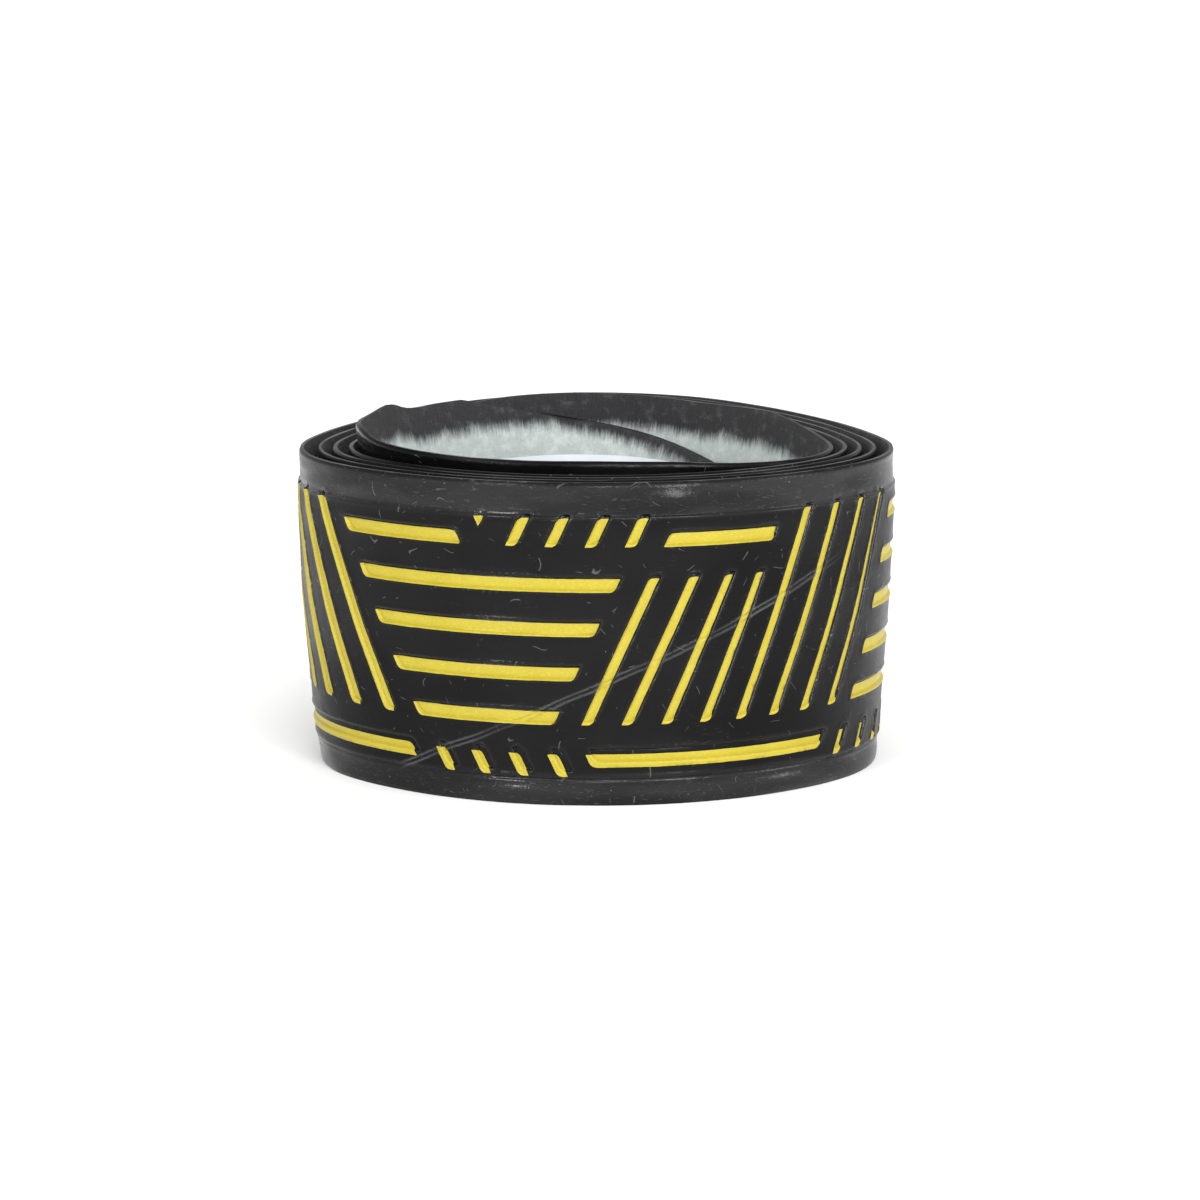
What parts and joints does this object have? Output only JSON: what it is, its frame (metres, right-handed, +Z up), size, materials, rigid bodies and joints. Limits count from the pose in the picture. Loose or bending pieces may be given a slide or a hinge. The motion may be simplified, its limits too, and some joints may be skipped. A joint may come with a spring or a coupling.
{
  "type": "grip tape roll",
  "caption": "Strip of embossed cushioned racket grip tape wound on edge into an open coil, with a felt back, a release liner and a free outer end that unrolls.",
  "frame": {"origin": "centre of the coil's bounding box at the plane that it stands on", "axes": "+Z up along the coil's axis, +X to the right across the roll, +Y from the front of the roll to the back, where the free outer end lies"},
  "size_m": [0.0518, 0.0564, 0.028],
  "materials": {
    "film": "glossy polyurethane film",
    "inlay": "satin print filling the embossed bars",
    "felt": "fuzzy nonwoven felt, blackened along its edges",
    "adhesive": "clear tacky film",
    "liner": "smooth white release liner"
  },
  "bodies": {
    "coil": {"felt": "felt", "adhesive": "adhesive", "liner": "liner", "film": "film", "inlay": "inlay"},
    "tail_1": {"felt_tail_1": "felt", "adhesive_tail_1": "adhesive", "liner_tail_1": "liner", "film_tail_1": "film", "inlay_tail_1": "inlay"},
    "tail_2": {"felt_tail_2": "felt", "adhesive_tail_2": "adhesive", "liner_tail_2": "liner", "film_tail_2": "film", "inlay_tail_2": "inlay"},
    "tail_3": {"felt_tail_3": "felt", "adhesive_tail_3": "adhesive", "liner_tail_3": "liner", "film_tail_3": "film", "inlay_tail_3": "inlay"},
    "tail_4": {"felt_tail_4": "felt", "adhesive_tail_4": "adhesive", "liner_tail_4": "liner", "film_tail_4": "film", "inlay_tail_4": "inlay"},
    "tail_5": {"felt_tail_5": "felt", "adhesive_tail_5": "adhesive", "liner_tail_5": "liner", "film_tail_5": "film", "inlay_tail_5": "inlay"}
  },
  "joints": [
    {"name": "tail_bend_1", "type": "hinge", "parent": "coil", "child": "tail_1", "pos_m": [0.02587, -0.00778, 0.014], "axis": [0, 0, -1], "range_deg": [0, 32.9], "stiffness_Nm_per_rad": 0.0008},
    {"name": "tail_bend_2", "type": "hinge", "parent": "tail_1", "child": "tail_2", "pos_m": [0.02414, 0.00201, 0.014], "axis": [0, 0, -1], "range_deg": [0, 10.4], "stiffness_Nm_per_rad": 0.0008},
    {"name": "tail_bend_3", "type": "hinge", "parent": "tail_2", "child": "tail_3", "pos_m": [0.0202, 0.01118, 0.014], "axis": [0, 0, -1], "range_deg": [0, 10.3], "stiffness_Nm_per_rad": 0.0008},
    {"name": "tail_bend_4", "type": "hinge", "parent": "tail_3", "child": "tail_4", "pos_m": [0.01468, 0.01951, 0.014], "axis": [0, 0, -1], "range_deg": [0, 12.1], "stiffness_Nm_per_rad": 0.0008},
    {"name": "tail_bend_5", "type": "hinge", "parent": "tail_4", "child": "tail_5", "pos_m": [0.00736, 0.0262, 0.014], "axis": [0, 0, -1], "range_deg": [0, 32.9], "stiffness_Nm_per_rad": 0.0008}
  ],
  "couplings": [
    {"joint": "tail_bend_2", "follows": "tail_bend_1", "ratio": 0.31611},
    {"joint": "tail_bend_3", "follows": "tail_bend_1", "ratio": 0.31307},
    {"joint": "tail_bend_4", "follows": "tail_bend_1", "ratio": 0.36778},
    {"joint": "tail_bend_5", "follows": "tail_bend_1", "ratio": 1}
  ]
}
